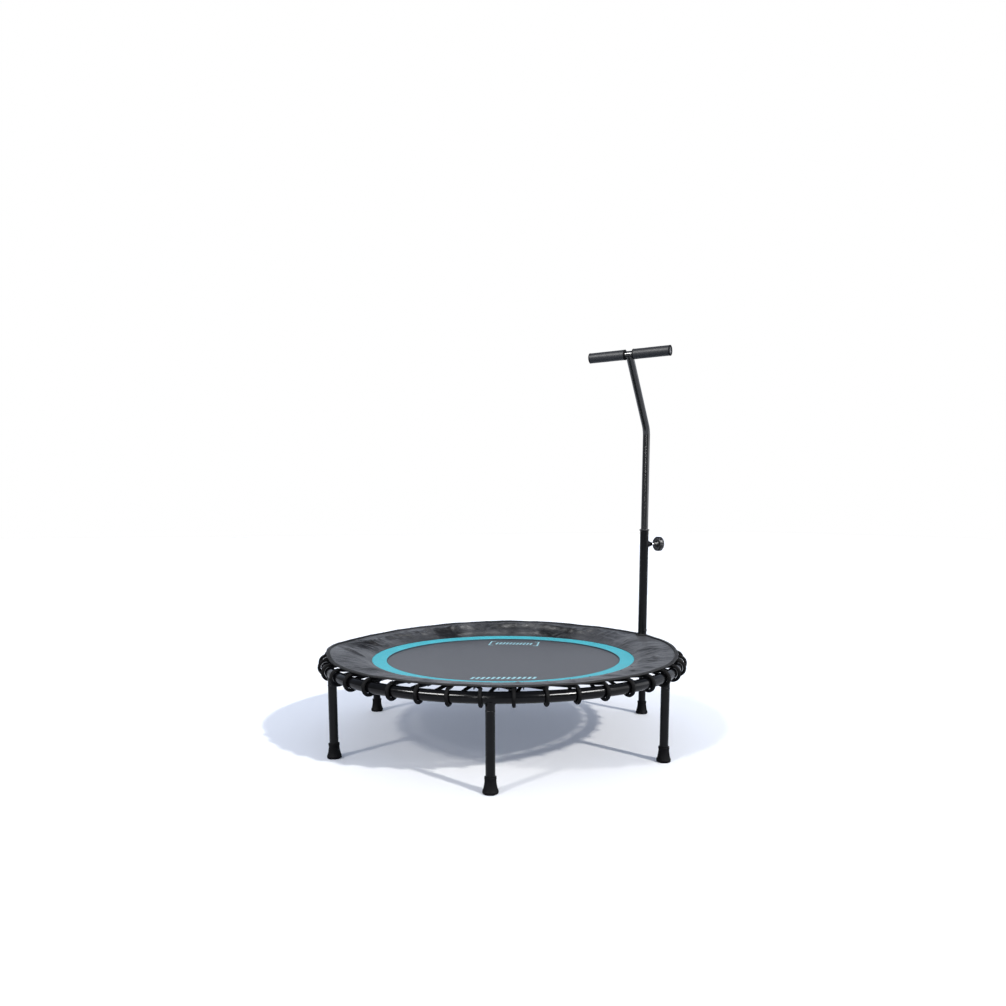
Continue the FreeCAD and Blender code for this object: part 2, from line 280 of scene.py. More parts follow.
def add_node(tree, kind, inputs=None, **settings):
    """A node with its settings, and with its inputs linked where a socket is given."""
    node = tree.nodes.new(kind)
    for key, value in settings.items():
        setattr(node, key, value)
    for socket, value in (inputs or {}).items():
        if isinstance(value, bpy.types.NodeSocket):
            tree.links.new(value, node.inputs[socket])
        else:
            node.inputs[socket].default_value = value
    return node


class Finish:
    """A Principled material, with short calls for the nodes that it needs."""

    def __init__(self, name, **sockets):
        self.material = bpy.data.materials.new(name)
        self.material.use_nodes = True
        self.tree = self.material.node_tree
        self.shader = self.tree.nodes["Principled BSDF"]
        for socket, value in sockets.items():
            self.shader.inputs[socket.replace("_", " ")].default_value = value
        self.place = self.node("ShaderNodeTexCoord").outputs["Object"]

    def node(self, kind, inputs=None, **settings):
        return add_node(self.tree, kind, inputs, **settings)

    def math(self, operation, first, second=0.0):
        return self.node("ShaderNodeMath", {0: first, 1: second}, operation=operation).outputs[0]

    def scaled_place(self, scale):
        return self.node("ShaderNodeMapping", {"Vector": self.place, "Scale": scale}).outputs[0]

    def noise(self, scale, detail, stretch=(1, 1, 1)):
        inputs = {"Vector": self.scaled_place(stretch), "Scale": scale, "Detail": detail}
        return self.node("ShaderNodeTexNoise", inputs).outputs["Fac"]

    def ramp(self, value, *stops):
        node = self.node("ShaderNodeValToRGB", {"Fac": value})
        elements = node.color_ramp.elements
        while len(elements) < len(stops):
            elements.new(0.5)
        for element, (position, colour) in zip(elements, stops):
            element.position = position
            element.color = (*colour, 1) if isinstance(colour, tuple) else (colour, colour, colour, 1)
        return node.outputs["Color"]

    def multiplied(self, first, second):
        inputs = {0: 1.0, 6: first, 7: second}
        return self.node("ShaderNodeMix", inputs, data_type="RGBA", blend_type="MULTIPLY").outputs[2]

    def cloth(self):
        return self.node("ShaderNodeUVMap", uv_map="cloth").outputs[0]

    def weave(self, pitch, vector=None):
        """Height of a plain weave, from 0 in the gaps to 1 on the threads."""
        parts = self.node("ShaderNodeSeparateXYZ", {0: vector or self.place}).outputs
        turns = [self.math("MULTIPLY", parts[k], math.pi / pitch) for k in (0, 1)]
        sines = [self.math("SINE", t) for t in turns]
        cosines = [self.math("COSINE", t) for t in turns]
        strands = []
        for own, other, operation in ((0, 1, "ADD"), (1, 0, "SUBTRACT")):
            crossing = self.math("MULTIPLY", sines[own], cosines[other])
            strands.append(self.math(operation, self.math("ABSOLUTE", sines[own]), crossing))
        return self.math("MULTIPLY", self.math("MAXIMUM", *strands), 0.5)

    def braid(self, pitch):
        """Height of crossing strands, for cord and tape."""
        parts = self.node("ShaderNodeSeparateXYZ", {0: self.cloth()}).outputs
        waves = []
        for operation in ("ADD", "SUBTRACT"):
            slant = self.math(operation, parts[0], parts[1])
            waves.append(self.math("SINE", self.math("MULTIPLY", slant, 2 * math.pi / pitch)))
        halved = self.math("MULTIPLY", self.math("MULTIPLY", *waves), 0.5)
        return self.math("ADD", halved, 0.5)

    def colour(self, socket):
        self.tree.links.new(socket, self.shader.inputs["Base Color"])

    def rough(self, socket, low, high):
        limits = {"Value": socket, "To Min": low, "To Max": high}
        spread = self.node("ShaderNodeMapRange", limits).outputs[0]
        self.tree.links.new(spread, self.shader.inputs["Roughness"])

    def bump(self, *layers):
        """Adds bumps of (height, depth in metres) on each other."""
        normal = None
        for height, depth in layers:
            inputs = {"Height": height, "Distance": depth, "Strength": 1.0}
            if normal is not None:
                inputs["Normal"] = normal
            normal = self.node("ShaderNodeBump", inputs).outputs[0]
        self.tree.links.new(normal, self.shader.inputs["Normal"])


def frame_paint():
    """Gloss black powder coat: a fine ripple and faint dust."""
    f = Finish("frame_paint", Specular_IOR_Level=0.13)
    dust = f.noise(34, 5)
    f.colour(f.ramp(dust, (0.35, (0.0012, 0.0012, 0.0014)), (0.75, (0.0024, 0.0024, 0.0028))))
    f.rough(f.noise(90, 4), 0.12, 0.22)
    f.bump((f.noise(700, 2), 0.00001), (f.noise(60, 2), 0.00004))
    return f.material


def stem_paint():
    """The same coat where it is polished by sliding in the post."""
    f = Finish("stem_paint", Specular_IOR_Level=0.5)
    f.colour(f.ramp(f.noise(40, 4), (0.35, (0.0016, 0.0016, 0.0018)), (0.75, (0.003, 0.003, 0.0034))))
    f.rough(f.noise(60, 4, (1, 1, 0.1)), 0.12, 0.22)
    f.bump((f.noise(60, 2), 0.00003))
    return f.material


def black_steel():
    f = Finish("black_steel", Metallic=0.6)
    f.colour(f.ramp(f.noise(200, 4), (0.3, (0.008, 0.008, 0.009)), (0.7, (0.02, 0.02, 0.022))))
    f.rough(f.noise(300, 3), 0.35, 0.5)
    f.bump((f.noise(900, 2), 0.00003))
    return f.material


def zinc_steel():
    f = Finish("zinc_steel", Metallic=1.0)
    mottle = f.noise(160, 4)
    f.colour(f.ramp(mottle, (0.3, (0.42, 0.43, 0.45)), (0.7, (0.62, 0.63, 0.66))))
    f.rough(f.noise(300, 3), 0.25, 0.45)
    f.bump((f.noise(900, 2), 0.00003))
    return f.material


def foot_rubber():
    f = Finish("foot_rubber", Specular_IOR_Level=0.04)
    scuff = f.noise(60, 5)
    f.colour(f.ramp(scuff, (0.35, (0.0016, 0.0016, 0.002)), (0.8, (0.004, 0.004, 0.0048))))
    f.rough(f.noise(140, 3), 0.5, 0.72)
    f.bump((f.noise(1500, 2), 0.00006))
    return f.material


def black_plastic():
    f = Finish("black_plastic", Specular_IOR_Level=0.3)
    f.colour(f.ramp(f.noise(80, 3), (0.4, (0.003, 0.003, 0.0035)), (0.7, (0.006, 0.006, 0.007))))
    f.rough(f.noise(220, 3), 0.28, 0.42)
    f.bump((f.noise(2400, 2), 0.00003))
    return f.material


def grey_plastic():
    f = Finish("grey_plastic", Specular_IOR_Level=0.5)
    f.colour(f.ramp(f.noise(90, 3), (0.4, (0.024, 0.025, 0.027)), (0.7, (0.045, 0.046, 0.048))))
    f.rough(f.noise(220, 3), 0.35, 0.5)
    f.bump((f.noise(2000, 2), 0.00003))
    return f.material


def grip_foam():
    """Closed-cell foam: fine pores and a soft dull skin."""
    f = Finish("grip_foam", Specular_IOR_Level=0.2, Sheen_Weight=0.05, Sheen_Roughness=0.4)
    cells = f.node("ShaderNodeTexVoronoi", {"Vector": f.place, "Scale": 900.0}).outputs["Distance"]
    pores = f.ramp(cells, (0.0, (0.004, 0.0045, 0.0055)), (0.35, (0.011, 0.012, 0.014)))
    f.colour(pores)
    f.rough(f.noise(120, 3), 0.42, 0.56)
    f.bump((cells, 0.00012), (f.noise(90, 3), 0.0002))
    return f.material


def mat_mesh():
    """Close woven mesh: threads 2.4 mm apart, with painted shade in the gaps between them."""
    f = Finish("mat_mesh", Specular_IOR_Level=0.54)
    threads = f.weave(2.4 * MM)
    drift = f.noise(5, 3)
    shade = f.math("MULTIPLY", f.math("SUBTRACT", drift, 0.5), 0.3)
    tone = f.math("ADD", threads, shade)
    # painted shade: near-black in the gaps between the threads
    f.colour(f.ramp(tone, (0.1, (0.002, 0.002, 0.003)), (0.7, (0.038, 0.04, 0.048))))
    f.rough(threads, 0.55, 0.42)
    f.bump((threads, 0.00025))
    return f.material


def band_fabric():
    """Turquoise cover band with painted shade as a dark line along its inner edge."""
    f = Finish("band_fabric", Specular_IOR_Level=0.25, Sheen_Weight=0.06)
    in_plan = f.scaled_place((1, 1, 0))
    radius = f.node("ShaderNodeVectorMath", {0: in_plan}, operation="LENGTH").outputs["Value"]
    limits = {"Value": radius, "From Min": BAND_IN, "From Max": BAND_OUT}
    outward = f.node("ShaderNodeMapRange", limits).outputs[0]
    painted_edge_shade_mask = f.math("ADD", outward, f.math("MULTIPLY", f.noise(160, 2), 0.02))
    # painted shade: near-black colour in a thin line along the band's inner edge, where its padded step
    # stands
    tone = f.ramp(painted_edge_shade_mask, (0.05, (0.001, 0.03, 0.045)), (0.075, (0.014, 0.43, 0.5)))
    cloth = f.weave(0.9 * MM)
    worn = f.ramp(f.noise(14, 4), (0.3, 0.88), (0.7, 1.0))
    threads = f.ramp(cloth, (0.05, 0.62), (0.5, 1.0))
    f.colour(f.multiplied(f.multiplied(tone, worn), threads))
    f.rough(cloth, 0.7, 0.5)
    f.bump((cloth, 0.00012))
    return f.material


def webbing():
    f = Finish("webbing", Specular_IOR_Level=0.4)
    ribs = f.weave(1.3 * MM, f.cloth())
    f.colour(f.ramp(ribs, (0.1, (0.006, 0.006, 0.007)), (0.6, (0.022, 0.022, 0.025))))
    f.rough(ribs, 0.8, 0.55)
    f.bump((ribs, 0.0003))
    return f.material


def bungee():
    """Braided sleeve over the elastic."""
    f = Finish("bungee", Specular_IOR_Level=0.05)
    strands = f.braid(3.2 * MM)
    tone = f.math("ADD", strands, f.math("MULTIPLY", f.noise(300, 2), 0.3))
    f.colour(f.ramp(tone, (0.2, (0.0006, 0.0006, 0.0008)), (1.0, (0.0028, 0.0028, 0.0034))))
    f.rough(strands, 0.7, 0.5)
    f.bump((strands, 0.0004))
    return f.material


# where the skirt shines less and is painted darker as shade: azimuth, radius and reach in millimetres, and
# how much
DULL_AND_PAINTED_SHADE_STRETCHES = (
    (231, 520, 125, 0.6), (281, 475, 110, 0.3), (182, 444, 80, 0.34), (158, 512, 95, 0.25),
    (128, 445, 100, 0.36),
)


def skirt_fabric():
    """Coated Oxford cloth: fine weave, creases, worn streaks, and stretches that shine less and are
    painted darker as shade.
    """
    f = Finish("skirt_fabric", Sheen_Weight=0.05)
    threads = f.weave(0.8 * MM)
    dust, streaks = f.noise(9, 5), f.noise(15, 5, (1, 1, 3))
    rumple = {"Vector": f.place, "Scale": 17.0, "Detail": 5.0, "Distortion": 2.2}
    creases = f.node("ShaderNodeTexNoise", rumple).outputs["Fac"]
    worn = f.math("MULTIPLY", f.math("ADD", dust, threads), 0.25)
    shade = f.math("ADD", worn, f.math("MULTIPLY", streaks, 0.5))
    in_plan = f.scaled_place((1, 1, 0))
    for azimuth, radius, reach, depth in DULL_AND_PAINTED_SHADE_STRETCHES:
        ends = {0: in_plan, 1: tuple(polar(radius * MM, azimuth))}
        away = f.node("ShaderNodeVectorMath", ends, operation="DISTANCE").outputs["Value"]
        limits = {"Value": away, "From Min": reach * MM, "From Max": 0.2 * reach * MM}
        dull = f.node("ShaderNodeMapRange", limits, interpolation_type="SMOOTHSTEP").outputs[0]
        painted_shade_and_dull_patch = f.math("MULTIPLY", dull, f.ramp(creases, (0.4, 0.25), (0.58, 1.0)))
        # painted shade: each stretch darkens the colour and lowers the shine, most where the crease noise
        # is high
        shade = f.math("SUBTRACT", shade, f.math("MULTIPLY", painted_shade_and_dull_patch, depth))
    f.colour(f.ramp(shade, (0.32, (0.002, 0.002, 0.003)), (0.7, (0.021, 0.022, 0.026))))
    level = {"Value": shade, "From Min": 0.3, "From Max": 0.7, "To Min": 0.08, "To Max": 0.8}
    shine = f.node("ShaderNodeMapRange", level).outputs[0]
    f.tree.links.new(shine, f.shader.inputs["Specular IOR Level"])
    f.rough(f.noise(20, 4), 0.42, 0.6)
    f.bump((threads, 0.00008), (creases, 0.0042))
    return f.material


def binding_tape():
    f = Finish("binding_tape", Specular_IOR_Level=0.15)
    ribs = f.braid(2.2 * MM)
    f.colour(f.ramp(ribs, (0.2, (0.002, 0.002, 0.0025)), (1.0, (0.006, 0.006, 0.007))))
    f.rough(ribs, 0.75, 0.55)
    f.bump((ribs, 0.0002))
    return f.material


def thread(name, light, dark):
    f = Finish(name, Specular_IOR_Level=0.4, Roughness=0.6)
    twist = f.noise(2500, 2)
    f.colour(f.ramp(twist, (0.35, dark), (0.65, light)))
    f.bump((twist, 0.0001))
    return f.material


def print_ink():
    f = Finish("print_ink", Specular_IOR_Level=0.4, Roughness=0.55)
    wear = f.noise(900, 3)
    f.colour(f.ramp(wear, (0.3, (0.14, 0.34, 0.38)), (0.6, (0.3, 0.58, 0.62))))
    f.bump((f.weave(1.8 * MM), 0.0001))
    return f.material


def floor_paper():
    f = Finish("floor_paper", Roughness=0.9, Specular_IOR_Level=0.1)
    f.colour(f.ramp(f.noise(1.5, 2), (0.3, (0.905, 0.91, 0.92)), (0.7, (0.925, 0.93, 0.94))))
    f.bump((f.noise(300, 2), 0.00003))
    return f.material


FINISHES = {make.__name__: make() for make in (
    frame_paint, zinc_steel, foot_rubber, black_plastic, grey_plastic, grip_foam, mat_mesh,
    band_fabric, webbing, bungee, skirt_fabric, binding_tape,
)}
DARK_THREAD = thread("dark_thread", (0.02, 0.02, 0.023), (0.008, 0.008, 0.009))
BAND_THREAD = thread("band_thread", (0.08, 0.5, 0.6), (0.04, 0.3, 0.38))
INK = print_ink()


# ---- Camera, lights and floor ----


def add_camera():
    data = bpy.data.cameras.new("camera")
    data.sensor_width = 36
    data.lens = 27.58
    data.shift_x = -0.02976
    data.shift_y = 0.11176
    place = Vector((2.1965, -1.0900, 0.7017))
    heading, tilt, roll = 151.43, math.radians(7.294), math.radians(0.195)
    forward = polar(math.cos(tilt), heading, -math.sin(tilt))
    right = forward.cross(Vector((0, 0, 1))).normalized()
    up = right.cross(forward)
    tilted_right = right * math.cos(roll) + up * math.sin(roll)
    tilted_up = up * math.cos(roll) - right * math.sin(roll)
    turn = Matrix((tilted_right, tilted_up, -forward)).transposed()
    camera = bpy.data.objects.new("camera", data)
    camera.matrix_world = Matrix.Translation(place) @ turn.to_4x4()
    bpy.context.scene.collection.objects.link(camera)
    bpy.context.scene.camera = camera


def add_light(name, data, azimuth, elevation):
    """A light that shines from a direction, 6 m from the middle of the trampoline."""
    light = bpy.data.objects.new(name, data)
    towards = polar(math.cos(math.radians(elevation)), azimuth, math.sin(math.radians(elevation)))
    light.location = towards * 6 + Vector((0, 0, 0.3))
    light.rotation_euler = towards.to_track_quat("Z", "Y").to_euler()
    bpy.context.scene.collection.objects.link(light)
    return light


def add_sun(name, azimuth, elevation, strength, softness):
    data = bpy.data.lights.new(name, "SUN")
    data.energy = strength
    data.angle = math.radians(softness)
    data.color = (1.0, 0.97, 0.92)
    add_light(name, data, azimuth, elevation)


def add_softbox(name, azimuth, elevation, width, height, radiance):
    """A panel that only shows in reflections, for the long highlights on the paint."""
    data = bpy.data.lights.new(name, "AREA")
    data.shape = "RECTANGLE"
    data.size = width
    data.size_y = height
    data.energy = radiance * math.pi * width * height
    light = add_light(name, data, azimuth, elevation)
    light.visible_diffuse = False
    light.visible_camera = False


def add_world():
    """White to the camera, a dim room with a pale wall in reflections, and bright low down as light."""
    world = bpy.data.worlds.new("studio")
    world.use_nodes = True
    tree = world.node_tree

    def node(kind, inputs=None, **settings):
        return add_node(tree, kind, inputs, **settings)

    def step(value, start, end):
        limits = {"Value": value, "From Min": start, "From Max": end}
        return node("ShaderNodeMapRange", limits, interpolation_type="SMOOTHSTEP").outputs[0]

    def times(first, second):
        return node("ShaderNodeMath", {0: first, 1: second}, operation="MULTIPLY").outputs[0]

    def times_plus(first, second, third):
        inputs = {0: first, 1: second, 2: third}
        return node("ShaderNodeMath", inputs, operation="MULTIPLY_ADD").outputs[0]

    way = node("ShaderNodeTexCoord").outputs["Generated"]
    flat = node("ShaderNodeVectorMath", {0: way, 1: (1, 1, 0)}, operation="MULTIPLY").outputs[0]
    heading = node("ShaderNodeVectorMath", {0: flat}, operation="NORMALIZE").outputs[0]
    height = node("ShaderNodeSeparateXYZ", {0: way}).outputs[2]
    rays = node("ShaderNodeLightPath").outputs
    mirror = rays["Is Glossy Ray"]

    wall_way = {0: heading, 1: tuple(polar(1, 130))}
    facing = node("ShaderNodeVectorMath", wall_way, operation="DOT_PRODUCT").outputs["Value"]
    wall = times(step(facing, 0.05, 0.45), step(height, 0.62, 0.3))
    mirrored = times_plus(wall, 0.94, 0.38)
    diffuse = times_plus(step(height, 0.45, 0.1), 1.9, 0.6)
    total = node("ShaderNodeMix", {0: mirror, 2: diffuse, 3: mirrored}).outputs[0]
    low_mirror = times(step(height, 0.5, 0.2), mirror)
    colours = {0: low_mirror, 6: (0.82, 0.92, 1.14, 1), 7: (0.92, 0.97, 1.06, 1)}
    tint = node("ShaderNodeMix", colours, data_type="RGBA").outputs[2]
    lit = node("ShaderNodeVectorMath", {0: tint, "Scale": total}, operation="SCALE").outputs[0]
    seen = {0: rays["Is Camera Ray"], 6: lit, 7: (1, 1, 1, 1)}
    shown = node("ShaderNodeMix", seen, data_type="RGBA").outputs[2]
    tree.links.new(shown, tree.nodes["Background"].inputs[0])
    bpy.context.scene.world = world


def add_floor():
    size, cells = 24.0, 24
    steps = np.linspace(-size, size, cells + 1)
    grid = np.stack([*np.meshgrid(steps, steps, indexing="ij"), np.zeros((cells + 1, cells + 1))], -1)
    floor = surface("floor", [grid], close_columns=False)
    if floor.data.polygons[0].normal.z < 0:
        floor.data.flip_normals()
    floor.data.materials.append(floor_paper())


add_camera()
add_world()
add_softbox("panel_right", 20.5, 37, 3.4, 1.1, 96)
add_softbox("panel_left", 286, 37, 3.2, 1.1, 85)
add_softbox("panel_side", 52, 18, 5, 3.4, 2.6)
add_softbox("panel_front", 320, 20, 0.22, 2.8, 36)
add_sun("key_right", 20.5, 37, 2.35, 2.6)
add_sun("key_left", 289, 40, 1.05, 6)
add_floor()
bpy.context.scene.view_settings.view_transform = "Standard"


# ---- Frame ----


def add_ring():
    path = circle(RING_R, RING_Z, RING_STEPS)
    grid = carry(path, round_section(TUBE_R, 40), closed=True, up=(0, 0, 1))
    ring = surface("frame_tube", [grid], close_rows=True)
    placed(ring, "frame", FINISHES["frame_paint"], "frame_paint", "frame_ring")


def bead(path, radius, seed=0):
    """A weld bead with its ripples, along a closed path."""
    line = np.array([tuple(p) for p in path])
    k = np.arange(len(line))
    ripple = 1 + 0.22 * np.sin(k * 2.1 + seed) * np.sin(k * 0.37)
    return carry(line, round_section(radius, 8)[None] * ripple[:, None, None], closed=True)


def socket_weld(degrees):
    """The seam where a leg's socket meets the underside of the round tube."""
    path = []
    out, along = polar(1, degrees), polar(1, degrees + 90)
    weld_r = LEG_R + 0.6 * MM
    steps = 72
    for k in range(steps):
        turn = 2 * math.pi * k / steps
        place = out * (RING_R + weld_r * math.cos(turn)) + along * (weld_r * math.sin(turn))
        off = Vector((place.x, place.y)).length - RING_R
        path.append(place + Vector((0, 0, RING_Z - math.sqrt(TUBE_R ** 2 - off ** 2))))
    return path


def butt_weld(degrees):
    """The seam round the tube where the bent ring closes."""
    path = []
    steps = 96
    for k in range(steps):
        turn = 2 * math.pi * k / steps
        wobble = 0.04 * math.sin(5 * turn)
        height = RING_Z + TUBE_R * math.sin(turn)
        path.append(polar(RING_R + TUBE_R * math.cos(turn), degrees + wobble, height))
    return path


def boss_weld():
    """The seam round the foot of the clamp's boss, on the round post."""
    path = []
    boss_r = 12.4 * MM
    for turn in np.linspace(0, 2 * math.pi, 60, endpoint=False):
        across, height = boss_r * math.cos(turn), CLAMP_Z + boss_r * math.sin(turn)
        path.append(POST + Vector((across, math.sqrt(POST_R ** 2 - across ** 2) + 0.2 * MM, height)))
    return path


def add_frame_welds():
    grids = []
    for k in range(LEG_COUNT):
        grids.append(bead(socket_weld(FIRST_LEG + LEG_PITCH * k), 1.7 * MM, seed=k))
    grids.append(bead(butt_weld(FIRST_LEG + 105), 1.1 * MM, seed=9))
    grids.append(bead(boss_weld(), 1.3 * MM, seed=4))
    welds = surface("frame_welds", grids, close_rows=True)
    placed(welds, "frame", FINISHES["frame_paint"], "frame_paint")


FOOT_PROFILE = (
    (12.72, 40), (12.72, 45), (15.1, 45), (15.9, 44.2), (15.9, 38.6), (15.1, 37.6), (15.3, 32), (16.2, 24),
    (17.7, 16), (19.8, 9.5), (21.0, 7.5), (21.0, 2.2), (19.2, 0), (14, 0), (12.5, 0.9), (2, 0.9),
)


def add_feet():
    def ribbed(radius, height, turn):
        on_flare = 8 * MM < height < 37 * MM and radius > 14 * MM
        return radius + (0.35 * MM * abs(math.sin(12 * turn)) - 0.2 * MM if on_flare else 0)

    profile = softened(FOOT_PROFILE, 1.2)
    for number in range(1, LEG_COUNT + 1):
        centre = polar(RING_R, FIRST_LEG + LEG_PITCH * (number - 1))
        grid = lathe(profile, centre, sides=96, shape=ribbed)
        foot = surface(f"foot_cap_{number}", [grid], caps=True, edge=50)
        placed(foot, "frame", FINISHES["foot_rubber"], "foot_rubber", f"foot_{number}")


def add_leg_seams():
    """Thin shoulder where each leg meets its socket."""
    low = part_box("leg_sockets")[0][2]
    profile = softened([(12.5, -2.2), (13.1, -1.6), (13.1, 1.6), (12.5, 2.2)], 0.5)
    grids = []
    for k in range(LEG_COUNT):
        centre = polar(RING_R, FIRST_LEG + LEG_PITCH * k, low)
        grids.append(lathe(profile, centre, sides=48))
    placed(surface("leg_shoulders", grids), "frame", FINISHES["frame_paint"], "frame_paint")


# ---- Mat ----


def sag(radius):
    """How far the mat hangs below its rim: a soft step under the band, then a faint bowl."""
    bowl_r = 362 * MM
    t = np.clip((MAT_R - radius) / (MAT_R - bowl_r), 0, 1)
    return 7.0 * MM * t * t * (3 - 2 * t) + 1.0 * MM * np.clip(1 - (radius / bowl_r) ** 2, 0, 1)


def settled(grids):
    """Lowers grids of the mat's pieces by its sag."""
    lowered = [np.array(grid, float) for grid in grids]
    for grid in lowered:
        grid[..., 2] -= sag(np.hypot(grid[..., 0], grid[..., 1]))
    return lowered


def band_height(radius):
    """Height of the band over the mat: padded at its inner edge, thin at its outer one."""
    t = (radius - BAND_IN) / (BAND_OUT - BAND_IN)
    return BAND_THICK + (BAND_TOP - MAT_TOP - BAND_THICK) * t


def add_mat():
    half = (MAT_TOP - MAT_BOTTOM) / 2
    radii = [2 * MM] + list(np.linspace(30 * MM, MAT_R - 1.5 * MM, 24))
    near_rim = MAT_R - 0.3 * MM
    profile = [(r, half) for r in radii]
    profile += [(near_rim, half * 0.7), (MAT_R, 0), (near_rim, -half * 0.7)]
    profile += [(r, -half) for r in reversed(radii)]
    grid = lathe(profile, (0, 0, MAT_BOTTOM + half), sides=252)
    mat = surface("mat_sheet", settled([grid]), caps=True)
    placed(mat, "mat", FINISHES["mat_mesh"], "mat_mesh", "jump_mat")
    return mat


def add_band():
    thin, edge = BAND_TOP - MAT_TOP, 0.5 * MM
    tops = [(r, band_height(r)) for r in np.linspace(BAND_IN + edge, BAND_OUT - edge, 9)]
    outer_side = [(BAND_OUT, thin - edge / 2), (BAND_OUT, 0)]
    bottoms = [(r, 0) for r in np.linspace(BAND_OUT - edge, BAND_IN, 6)]
    profile = [(BAND_IN, BAND_THICK - edge)] + tops + outer_side + bottoms
    grid = lathe(profile, (0, 0, MAT_TOP), sides=336)
    band = surface("turquoise_band", settled([grid.transpose(1, 0, 2)]), close_rows=True)
    placed(band, "mat", FINISHES["band_fabric"], "band_fabric", "mat_colour_band")
    grids = []
    for radius in (BAND_IN + 5 * MM, BAND_OUT - 5 * MM):
        grids += ring_of_stitches(radius, MAT_TOP + band_height(radius), 4.2 * MM, 3 * MM)
    seams = surface("band_stitching", settled(grids), caps=True)
    placed(seams, "mat", BAND_THREAD, "band_fabric")
    return band, seams


def add_hem():
    """Webbing sewn under the rim of the mat."""
    middle, width = (HEM_IN + HEM_OUT) / 2, HEM_OUT - HEM_IN
    thick = MAT_BOTTOM - HEM_BOTTOM
    path = circle(middle, MAT_BOTTOM - thick / 2, RING_STEPS)
    grid = carry(path, flat_section(width, thick, 24, 9), closed=True, up=(0, 0, 1))
    hem = surface("mat_hem", settled([grid]), close_rows=True)
    placed(hem, "mat", FINISHES["webbing"], "webbing", "mat_edge_webbing")
    grids = []
    for radius in (HEM_IN + 3 * MM, HEM_IN + 8 * MM, HEM_OUT - 3 * MM):
        grids += ring_of_stitches(radius, HEM_BOTTOM, 5 * MM, 3.6 * MM, -1)
    seams = surface("hem_stitching", settled(grids), caps=True)
    placed(seams, "mat", DARK_THREAD, "webbing")
    return hem, seams


def add_tabs():
    """Webbing loops that hold the cord, sewn under the hem."""
    tape, cord_z = 1.4 * MM, (MAT_TOP + MAT_BOTTOM) / 2
    turn_r = CORD_R + 0.15 * MM + tape / 2
    low, high = HEM_BOTTOM - 2.2 * MM, HEM_BOTTOM - 0.75 * MM
    grids, threads = [], []
    for k in range(LOOP_COUNT):
        degrees = FIRST_LOOP + LOOP_PITCH * (k - 0.5)
        out, along = polar(1, degrees), polar(1, degrees + 90)
        outline = [(412 * MM, low), (425 * MM, low), (435 * MM, low - 0.2 * MM)]
        for a in range(-100, 191, 15):
            turn = math.radians(a)
            outline.append((EYE_R + turn_r * math.cos(turn), cord_z + turn_r * math.sin(turn)))
        outline += [(434.5 * MM, high), (425 * MM, high), (412 * MM, high)]
        path = [out * r + Vector((0, 0, z)) for r, z in outline]
        grids.append(carry(path, flat_section(10 * MM, tape, 14), up=along))
        across = [(r, s, along) for r in (415, 428) for s in (-3.6, -1.2, 1.2, 3.6)]
        lengthwise = [(r, s, out) for s in (-4.2, 4.2) for r in (418.5, 421.5, 424.5)]
        for radius, side, way in across + lengthwise:
            place = out * (radius * MM) + along * (side * MM) + Vector((0, 0, low - tape / 2))
            threads.append((place, way, Vector((0, 0, -1))))
    tabs = surface("cord_tabs", settled(grids), caps=True)
    placed(tabs, "mat", FINISHES["webbing"], "webbing", "mat_tabs")
    seams = surface("tab_stitching", settled(stitch_grids(threads, 2.1 * MM, 0.4 * MM)), caps=True)
    placed(seams, "mat", DARK_THREAD, "webbing")


def slab(outline, low, high):
    """A thin printed shape from its outline: side walls closed by two caps."""
    return np.array([[(x, y, low) for x, y in outline], [(x, y, high) for x, y in outline]])


def add_marks():
    """Plain generic marks printed on the mat: bars in brackets at the back, bars at the front."""
    grids = []

    def bar(middle, centre, width, height, slant=0, inward=0):
        """A bar by a middle (azimuth, radius), with the rest of its sizes in millimetres."""
        azimuth, radius = middle
        w, h = width / 2, height / 2
        corners = []
        for side, end in ((-1, 1), (1, 1), (1, -1), (-1, -1)):
            across, towards = centre + side * w - end * slant, inward + end * h
            place = polar((radius - towards) * MM, azimuth) + polar(across * MM, azimuth - 90)
            corners.append((place.x, place.y))
        grids.append(slab(corners, MAT_TOP, MAT_TOP + 0.25 * MM))

    back, front = (146.3, 290), (333.4, 309)
    for side in (-1, 1):
        bar(back, side * 86, 5, 84)
        for end in (-1, 1):
            bar(back, side * 77.5, 12, 4, inward=end * 40)
    for k in range(-5, 6):
        bar(back, k * 12.2, 6, 40, slant=2)
    for k in range(-6, 7):
        bar(front, k * 14.6, 8, 26, slant=4)
    placed(surface("mat_marks", settled(grids), caps=True, edge=20), "mat", INK, "band_fabric")


# ---- Lacing ----


def loop_route(degrees):
    """One V of the lacing: out of a tab, over and round the tube, back to the next tab."""
    wrap_r = TUBE_R + CORD_R + CORD_GAP
    cord_z = (MAT_TOP + MAT_BOTTOM) / 2
    out, along = polar(1, degrees), polar(1, degrees + 90)
    eyes = [polar(EYE_R, degrees + s * LOOP_PITCH / 2, cord_z) for s in (-1, 1)]
    ways = [polar(1, degrees + s * LOOP_PITCH / 2 + 90) for s in (-1, 1)]
    points = [eyes[0], eyes[0] + ways[0] * EYE_HALF * 0.8]
    reach = wrap_r / math.cos(math.radians(14))
    for k, a in enumerate(range(118, -146, -26)):
        turn = math.radians(a)
        place = out * (RING_R + reach * math.cos(turn)) + along * WRAP_LEAN * (k / 5 - 1)
        points.append(place + Vector((0, 0, RING_Z + reach * math.sin(turn))))
    points += [eyes[1] - ways[1] * EYE_HALF * 0.8, eyes[1]]
    return eased(points)


def add_lacing():
    for k in range(LOOP_COUNT):
        degrees = FIRST_LOOP + LOOP_PITCH * k
        grid = carry(loop_route(degrees), round_section(CORD_R, 16))
        loop = surface(f"bungee_loop_{k + 1}", [grid], caps=True, edge=60)
        loop.data.materials.append(FINISHES["bungee"])
        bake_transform(loop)
        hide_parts("bungee_cord")


